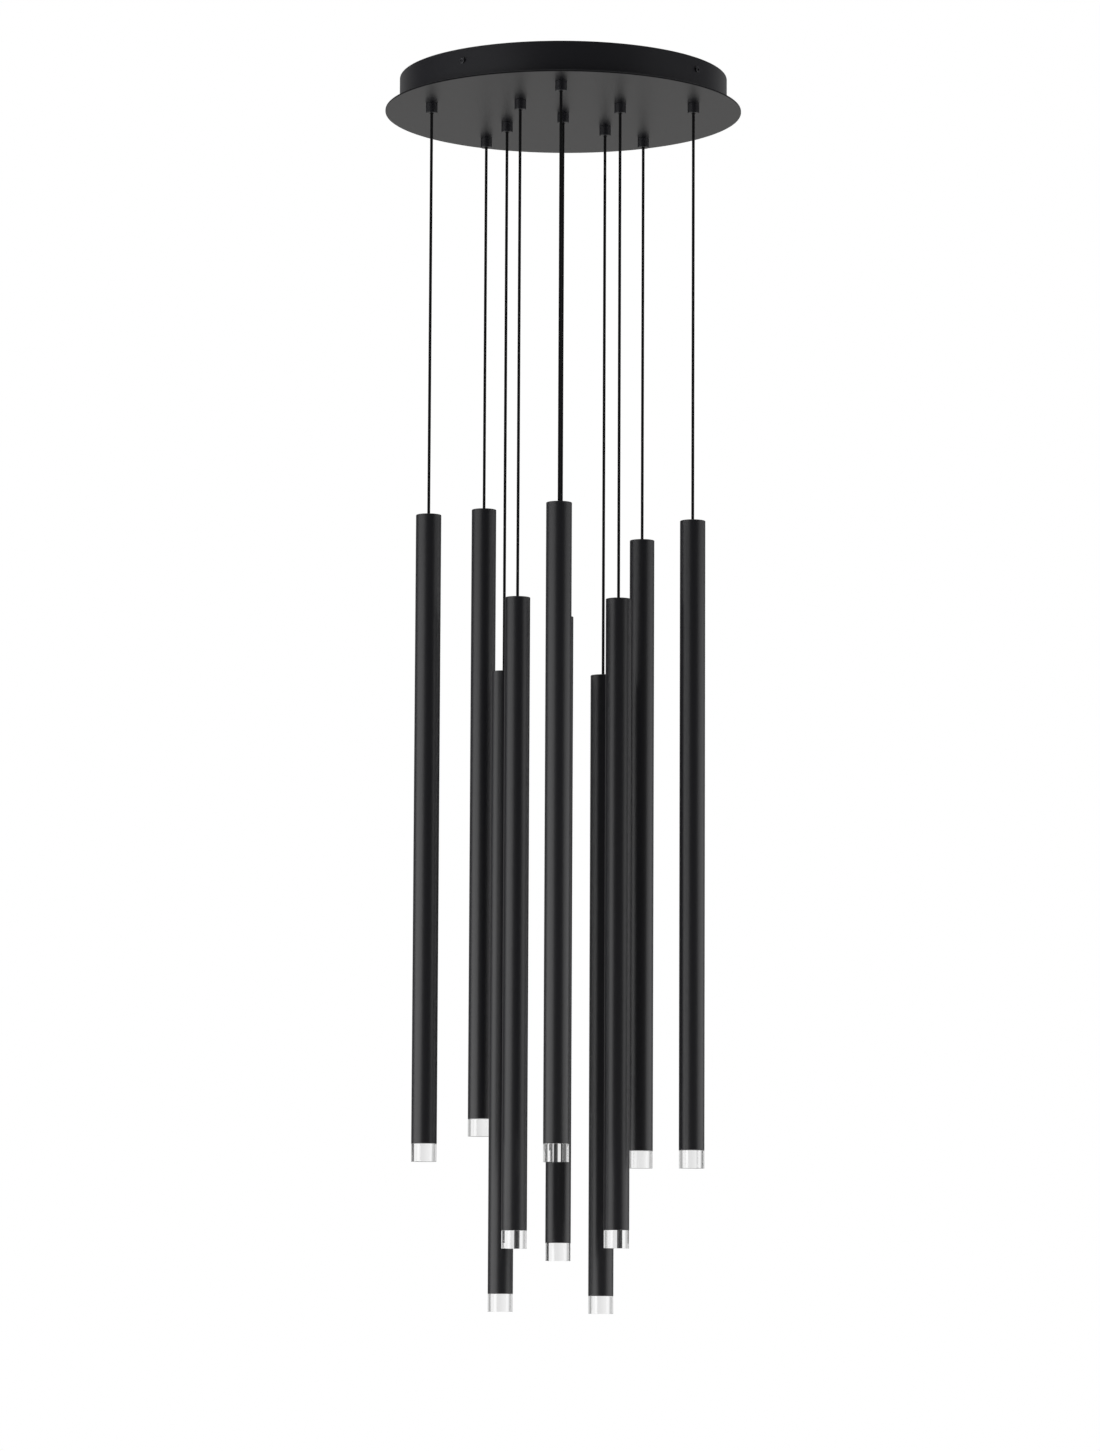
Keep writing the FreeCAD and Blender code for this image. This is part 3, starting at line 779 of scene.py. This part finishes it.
def studio_world(look):
    """White to the eye, an even grey light on plain surfaces, and a room of its own each for
    gloss and for glass."""
    world = bpy.data.worlds.new("white_studio")
    world.use_nodes = True
    tree = world.node_tree
    tree.nodes.clear()
    way = node(tree, "SeparateXYZ", {0: node(tree, "TexCoord")["Generated"]})
    bearing = node(tree, "Math", {0: way["X"], 1: way["Y"]}, operation="ARCTAN2")[0]
    whole = {"Value": bearing, "From Min": -math.pi, "From Max": math.pi}
    share = node(tree, "MapRange", whole)["Result"]
    gloss, glass = (grey_levels(tree, share, stops) for stops in (GLOSSY_ROOM, GLASS_ROOM))
    rise = {"Value": way["Z"], "From Min": CEILING_FROM, "From Max": CEILING_FULL}
    high = node(tree, "MapRange", rise, interpolation_type="SMOOTHSTEP")["Result"]
    roofed = node(tree, "Mix", {0: high, 6: gloss, 7: WHITE}, data_type="RGBA")[2]
    path = node(tree, "LightPath")
    seen = (look.ambient, look.ambient, look.ambient, 1)
    rays = {"Is Glossy Ray": roofed, "Is Transmission Ray": glass, "Is Camera Ray": WHITE}
    for ray, shown in rays.items():
        seen = node(tree, "Mix", {0: path[ray], 6: seen, 7: shown}, data_type="RGBA")[2]
    light = node(tree, "Background", {"Color": seen, "Strength": 1.0})[0]
    node(tree, "OutputWorld", {"Surface": light})
    bpy.context.scene.world = world


def studio_floor(look):
    """A plain pale floor far below."""
    shape = skin([[(0, 0, -look.floor_drop)], ring(look.floor_reach, -look.floor_drop, 96)])
    bmesh.ops.reverse_faces(shape, faces=[face for face in shape.faces if face.normal.z < 0])
    floor = piece("studio_floor", shape)
    floor.data.materials.append(finish(pale_floor_paint))
    return floor


class PENDANT_OT_stage(bpy.types.Operator):
    """Sets up the camera, the lamps, the white room and the floor"""

    bl_idname = "pendant.stage"
    bl_label = "Stage"

    def execute(self, context):
        look = chosen("stage")
        context.scene.view_settings.view_transform = "Standard"
        picture_camera(look)
        studio_world(look)
        level = look.lamp_level
        softbox(look, "left_softbox", azimuth=-66, spread=72, level=level)
        softbox(look, "right_softbox", azimuth=88, spread=66, level=level * look.right_share)
        flag(studio_floor(look))
        return {"FINISHED"}


def straight_route(top, foot):
    """The points of a taut cord's line, read from its own two-point spline."""
    line = bpy.data.curves.new("route", "CURVE")
    line.dimensions = "3D"
    spline = line.splines.new("NURBS")
    spline.points.add(1)
    for point, spot in zip(spline.points, (top, foot)):
        point.co = (*spot, 1)
    spline.order_u = 3
    spline.use_endpoint_u = True
    route = bpy.data.objects.new("route", line)
    bpy.context.scene.collection.objects.link(route)
    bpy.context.view_layer.update()
    drawn = route.evaluated_get(bpy.context.evaluated_depsgraph_get())
    mesh = bpy.data.meshes.new_from_object(drawn)
    points = [vertex.co.copy() for vertex in mesh.vertices]
    bpy.data.objects.remove(route)
    return points


def cord_tube(points, radius, segments=24):
    """A round tube down a line, with its length in metres along V for the braid."""
    shape = bmesh.new()
    layer = shape.loops.layers.uv.new("braid")
    rows = []
    for point in points:
        spots = [point + Vector(spot) for spot in ring(radius, 0, segments)]
        rows.append([shape.verts.new(spot) for spot in spots])
    for k, (high, low) in enumerate(zip(rows, rows[1:])):
        for i in range(segments):
            j = (i + 1) % segments
            face = shape.faces.new((high[i], low[i], low[j], high[j]))
            downs = [(points[0] - points[n]).length for n in (k, k + 1, k + 1, k)]
            turns = [n / segments for n in (i, i, i + 1, i + 1)]
            for loop, turn, down in zip(face.loops, turns, downs):
                loop[layer].uv = (turn, down)
    shape.faces.new(rows[0])
    shape.faces.new(rows[-1])
    bmesh.ops.recalc_face_normals(shape, faces=shape.faces)
    return shape


class PENDANT_OT_cords(bpy.types.Operator):
    """Makes the ten taut braided cords"""

    bl_idname = "pendant.cords"
    bl_label = "Cords"

    def execute(self, context):
        coat, grip_face = finish(black_polyester_braid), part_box("cord_grips")[0].z
        for number in RODS:
            low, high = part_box("cord_" + number)
            across, along = hang_point(number)
            radius, whole = (high.x - low.x) / 2, high.z - low.z
            points = straight_route((across, along, high.z), (across, along, low.z))
            made = piece("hanging_cord_" + number, cord_tube(points, radius))
            dress(made, coat, "hanger_" + number, "black_cord", "cord_" + number)
            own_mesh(made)
        return {"FINISHED"}


class PENDANT_OT_canopy(bpy.types.Operator):
    """Makes the drum, the face plate and its welded studs"""

    bl_idname = "pendant.canopy"
    bl_label = "Canopy"

    def execute(self, context):
        sizes, coat = chosen("canopy"), finish(matte_polyester_powder_coat)
        self.drum(sizes, coat)
        self.plate(sizes, coat)
        self.studs(sizes)
        return {"FINISHED"}

    def drum(self, sizes, coat):
        """A spun drum, open on top, with a flange inside its foot and holes for the screws."""
        low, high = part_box("canopy_drum")
        out, ease, bend = high.x, sizes.edge_ease, sizes.drum_bend
        wall, flange = out - sizes.drum_wall, out - sizes.drum_flange
        inside = low.z + sizes.drum_wall
        corners = [
            (wall, high.z, ease),
            (out, high.z, ease),
            (out, low.z, bend),
            (flange, low.z, ease),
            (flange, inside, ease),
            (wall, inside, bend / 2),
        ]
        bits = drill_bits(sizes.screw_hole / 2, screw_places(), reach=5 * MM)
        made = piece("canopy_drum_shell", drilled(turned(corners, segments=256), bits))
        dress(made, coat, CANOPY, "black_powder_coat", "canopy_drum")

    def plate(self, sizes, coat):
        """A flat disc with a hole for each cord grip."""
        low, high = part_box("canopy_plate")
        out, top, ease = high.x, low.z + sizes.plate_thick, sizes.edge_ease
        corners = [(0, low.z, 0), (out, low.z, ease), (out, top, ease), (0, top, 0)]
        bits = drill_bits(sizes.plate_hole / 2, [hung(number, low.z) for number in RODS])
        disc = turned(corners, segments=256, closed=False)
        made = piece("canopy_face_plate", drilled(disc, bits))
        flag(made)
        dress(made, coat, CANOPY, "black_powder_coat", "canopy_plate")

    def studs(self, sizes):
        """Threaded studs, plain at the weld and turned off at the tip."""
        radius, top = sizes.stud_dia / 2, sizes.stud_rise
        foot, lead, tip = 1.2 * MM, 0.4 * MM, radius * 0.7
        thread = ridges(radius, foot, top - lead, pitch=0.5 * MM, depth=0.18 * MM)
        corners = [(0, 0, 0), (radius, 0, 0), *thread, (tip, top, 0), (0, top, 0)]
        places = [Matrix.Translation(place) for place in stud_places()]
        shape = copies(turned(corners, segments=24, closed=False), places)
        made = piece("welded_studs", shape)
        dress(made, finish(clear_zinc_plated_steel), CANOPY, "zinc_steel")


class PENDANT_OT_side_screws(bpy.types.Operator):
    """Makes the four socket screws through the drum's wall"""

    bl_idname = "pendant.side_screws"
    bl_label = "Side Screws"

    def execute(self, context):
        sizes = chosen("hardware")
        shank, end = sizes.screw_dia / 2, -sizes.screw_length
        head, rise, socket = sizes.head_dia / 2, sizes.head_rise, sizes.socket_flats / 2
        tip, brim = shank * 0.8, socket * 1.25
        lead, neck, mouth, cone = 0.4 * MM, 0.6 * MM, 0.15 * MM, 0.4 * MM
        thread = ridges(shank, end + lead, -neck, sizes.screw_pitch, depth=0.25 * MM)
        corners = [
            (0, end, 0),
            (tip, end, 0),
            *thread,
            (shank, 0, 0),
            (head, 0, 0.15 * MM),
            (head, rise, 0.35 * MM),
            (brim, rise, 0),
        ]
        rows = [ring(*point, 48) for point in eased(corners, closed=False)]
        bottom = rise - sizes.socket_depth
        rows.append(ring(socket, rise - mouth, 48, flats=True))
        rows.append(ring(socket, bottom, 48, flats=True))
        rows.append(ring(0, bottom - cone, 48))
        made = piece("socket_screws", copies(skin(rows), screw_places()))
        dress(made, finish(black_oxide_steel), CANOPY, "black_screw_steel", "side_screws")
        return {"FINISHED"}


class PENDANT_OT_cord_grips(bpy.types.Operator):
    """Makes the ten cord grips and their nuts"""

    bl_idname = "pendant.cord_grips"
    bl_label = "Cord Grips"

    def execute(self, context):
        sizes = chosen("hardware")
        low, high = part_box("cord_grips")
        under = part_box("canopy_plate")[0].z
        out, stub, bore = sizes.grip_dia / 2, sizes.stub_dia / 2, sizes.grip_bore / 2
        flare, flare_rise, neck, lead, point = 1 * MM, 1.2 * MM, 1 * MM, 0.6 * MM, 0.8 * MM
        thread = ridges(stub, under + neck, high.z - lead, sizes.stub_pitch, depth=0.4 * MM)
        corners = [
            (bore, low.z + flare_rise, 0.3 * MM),
            (bore + flare, low.z, 0.3 * MM),
            (out, low.z, 0.6 * MM),
            (out, under, 0.2 * MM),
            (stub, under, 0),
            *thread,
            (stub - point, high.z, 0.2 * MM),
            (bore, high.z, 0.3 * MM),
        ]
        coat, zinc = finish(matte_polyester_powder_coat), finish(clear_zinc_plated_steel)
        shape = copies(turned(corners, segments=64), [hung(number) for number in RODS])
        made = piece("turned_cord_grips", shape)
        dress(made, coat, CANOPY, "black_powder_coat", "cord_grips")
        play = 0.05 * MM
        shape = nut(sizes.grip_nut_flats, sizes.grip_nut_thick, stub + play)
        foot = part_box("grip_nuts")[0].z
        made = piece("hexagon_grip_nuts", copies(shape, [hung(number, foot) for number in RODS]))
        dress(made, zinc, CANOPY, "zinc_steel", "grip_nuts")
        return {"FINISHED"}


class PENDANT_OT_inside(bpy.types.Operator):
    """Finishes the bracket, earth screw and terminal block, and makes what stands by them"""

    bl_idname = "pendant.inside"
    bl_label = "Inside the Canopy"

    def execute(self, context):
        sizes, zinc = chosen("canopy"), finish(clear_zinc_plated_steel)
        dress_node("ceiling_bracket", zinc, ease=0.25 * MM)
        dress_node("earth_screw", zinc, ease=0.3 * MM)
        self.stud_nuts(sizes, chosen("hardware"), zinc)
        self.driver(sizes)
        self.terminals(sizes)
        return {"FINISHED"}

    def stud_nuts(self, sizes, hardware, zinc):
        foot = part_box("stud_nuts")[0].z
        shape = nut(hardware.stud_nut_flats, hardware.stud_nut_thick, sizes.stud_dia / 2)
        places = [Matrix.Translation((place.x, place.y, foot)) for place in stud_places()]
        made = piece("hexagon_stud_nuts", copies(shape, places))
        dress(made, zinc, CANOPY, "zinc_steel", "stud_nuts")

    def driver(self, sizes):
        """A two-part moulded case: feet, base, a fine seam, and a lid with eased edges."""
        place, angle, whole, width, tall = footed_node("led_driver")
        half_x, half_y = width / 2, whole / 2 - sizes.foot_length
        seam, gap, lip = tall * 0.68, 0.5 * MM, 0.15 * MM
        lid_ease, lid_edge = 1.6 * MM, 4 * MM
        side = [
            (0, 0, 0),
            (0, seam, lip),
            (gap, seam, 0),
            (gap, seam + gap, 0),
            (0, seam + gap, lip),
            (0, tall, lid_ease),
            (lid_edge, tall, 0),
        ]
        case = box_shape(half_x, half_y, corner=2 * MM, side=side)
        foot, foot_edge = sizes.foot_thick, 2 * MM
        side = [(0, 0, 0), (0, foot, 0.3 * MM), (foot_edge, foot, 0)]
        feet = box_shape(half_x, whole / 2, corner=3 * MM, side=side)
        reach, play = (whole - sizes.foot_length) / 2, 0.2 * MM
        holes = [Matrix.Translation((0, along, 0)) for along in (reach, -reach)]
        merge(case, drilled(feet, drill_bits(sizes.stud_dia / 2 + play, holes)))
        made = piece("led_driver_case", case, stand(angle, place))
        dress(made, finish(moulded_polycarbonate), CANOPY, "driver_plastic", "led_driver")

    def terminals(self, sizes):
        """The frame's own block, with a slotted brass screw at the foot of each top mouth."""
        plastic = finish(moulded_polyamide)
        dress_node("terminal_block", plastic, ease=0.25 * MM)
        place, angle, _, _, tall = footed_node("terminal_block")
        count, depth, twist = 12, 5 * MM, math.radians(37)
        radius, rise, slot, slot_floor = 1.7 * MM, 1.6 * MM, 0.25 * MM, 0.8 * MM
        corners = [(0, 0, 0), (radius, 0, 0), (radius, rise, 0.2 * MM), (0, rise, 0)]
        cutter = box_shape(slot, 2 * radius, 0, [(0, slot_floor, 0), (0, 2 * rise, 0)])
        screw = drilled(turned(corners, segments=32, closed=False), cutter)
        places = []
        for i in range(count):
            along = sizes.pole_pitch * (i - (count - 1) / 2)
            mouth = stand(angle, place) @ Matrix.Translation((0, along, tall - depth))
            places.append(mouth @ Matrix.Rotation(twist * i, 4, "Z"))
        made = piece("terminal_screws", copies(screw, places))
        dress(made, finish(turned_brass), CANOPY, "terminal_plastic")


class PENDANT_OT_tubes(bpy.types.Operator):
    """Makes the ten coated tubes with their closed tops"""

    bl_idname = "pendant.tubes"
    bl_label = "Rod Tubes"

    def execute(self, context):
        sizes, coat = chosen("rod"), finish(satin_polyester_tube_coat)
        ease, bore = sizes.tube_ease, sizes.cap_bore / 2
        for number in RODS:
            low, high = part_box("rod_tube_" + number)
            out = (high.x - low.x) / 2
            wall, cap = out - sizes.tube_wall, high.z - sizes.cap_thick
            corners = [
                (bore, high.z, 0.3 * MM),
                (out, high.z, ease),
                (out, low.z, ease / 2),
                (wall, low.z, 0.2 * MM),
                (wall, cap, 0),
                (bore, cap, 0),
            ]
            made = piece("coated_tube_" + number, turned(corners), hung(number))
            dress(made, coat, "rod_" + number, "black_tube_coat", "rod_tube_" + number)
        return {"FINISHED"}


class PENDANT_OT_engines(bpy.types.Operator):
    """Makes the LED boards and their finned heat sinks"""

    bl_idname = "pendant.engines"
    bl_label = "Light Engines"

    def execute(self, context):
        sizes = chosen("rod")
        for number in RODS:
            low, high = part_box("led_engine_" + number)
            place, corner = hung(number, low.z), (high.y - low.y) / 2
            self.sink(number, sizes, corner, high.z - low.z, place)
            self.board(number, sizes, corner, place)
        return {"FINISHED"}

    def sink(self, number, sizes, corner, tall, place):
        """A finned extrusion that stands on the board and reaches as far as its corners."""
        star = fin_star(sizes.core_flats, corner, sizes.fin_thick)
        rows = [[(x, y, up) for x, y in star] for up in (sizes.board_thick, tall)]
        made = piece("finned_sink_" + number, skin(rows, caps=True), place)
        metal = finish(extruded_aluminium)
        dress(made, metal, "rod_" + number, "sink_aluminium", "led_engine_" + number)

    def board(self, number, sizes, corner, place):
        """A hexagonal board with the LED's round face under it."""
        half, edge = corner * math.cos(math.pi / 6), 0.15 * MM
        foot, top = sizes.lens_gap / 2, sizes.board_thick
        side = [(half, foot, 0), (0, foot, edge), (0, top, edge), (half, top, 0)]
        rows = [ring(half - inset, up, 48, flats=True) for inset, up in eased(side, closed=False)]
        made = piece("led_board_" + number, skin(rows), place)
        dress(made, finish(white_solder_mask), "rod_" + number, "sink_aluminium")
        radius, under = sizes.chip_dia / 2, -sizes.chip_thick
        corners = [(0, under, 0), (radius, under, 0.25 * MM), (radius, foot, 0)]
        shape = turned(corners, segments=48, closed=False)
        chip = piece("led_face_" + number, shape, place)
        dress(chip, finish(lit_led_phosphor), "rod_" + number, "sink_aluminium")


class PENDANT_OT_lenses(bpy.types.Operator):
    """Makes the ten clear lenses"""

    bl_idname = "pendant.lenses"
    bl_label = "Lenses"

    def execute(self, context):
        sizes, coat = chosen("rod"), finish(clear_cast_acrylic)
        gap, ease = sizes.lens_gap, sizes.lens_ease
        hollow = sizes.chip_dia / 2 + sizes.chip_room
        for number in RODS:
            low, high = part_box("lens_" + number)
            tube_low, tube_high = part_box("rod_tube_" + number)
            out = (high.x - low.x) / 2
            spigot = (tube_high.x - tube_low.x) / 2 - sizes.tube_wall - sizes.lens_slip
            seat, top = tube_low.z - gap, high.z - gap
            corners = [
                (0, low.z, 0),
                (out, low.z, ease),
                (out, seat, ease / 2),
                (spigot, seat, 0.1 * MM),
                (spigot, top, 0.3 * MM),
                (hollow, top, 0.1 * MM),
                (hollow, top - sizes.chip_recess, 0.3 * MM),
                (0, top - sizes.chip_recess, 0),
            ]
            made = piece("acrylic_lens_" + number, turned(corners, closed=False), hung(number))
            dress(made, coat, "rod_" + number, "clear_acrylic", "lens_" + number)
        return {"FINISHED"}


OPERATORS = (
    PENDANT_OT_stage,
    PENDANT_OT_cords,
    PENDANT_OT_canopy,
    PENDANT_OT_side_screws,
    PENDANT_OT_cord_grips,
    PENDANT_OT_inside,
    PENDANT_OT_tubes,
    PENDANT_OT_engines,
    PENDANT_OT_lenses,
)


class PENDANT_PT_sidebar(bpy.types.Panel):
    """Lists the pendant's steps, sizes and colours"""

    bl_idname = "PENDANT_PT_sidebar"
    bl_label = "Cluster Pendant"
    bl_space_type = "VIEW_3D"
    bl_region_type = "UI"
    bl_category = "Pendant"

    def draw(self, context):
        steps = self.layout.column(align=True)
        for operator in OPERATORS:
            steps.operator(operator.bl_idname)
        for name, group in GROUPS.items():
            box = self.layout.box()
            box.label(text=group.__doc__)
            for prop in group.__annotations__:
                box.prop(getattr(context.scene, name), prop)


CLASSES = (*GROUPS.values(), *OPERATORS, PENDANT_PT_sidebar)


def register():
    for each in CLASSES:
        bpy.utils.register_class(each)
    for name, group in GROUPS.items():
        setattr(bpy.types.Scene, name, bpy.props.PointerProperty(type=group))


def unregister():
    for name in GROUPS:
        delattr(bpy.types.Scene, name)
    for each in reversed(CLASSES):
        bpy.utils.unregister_class(each)


def main():
    """Runs every step in order."""
    register()
    for operator in OPERATORS:
        getattr(bpy.ops.pendant, operator.bl_idname.split(".")[1])()


if __name__ == "__main__":
    main()
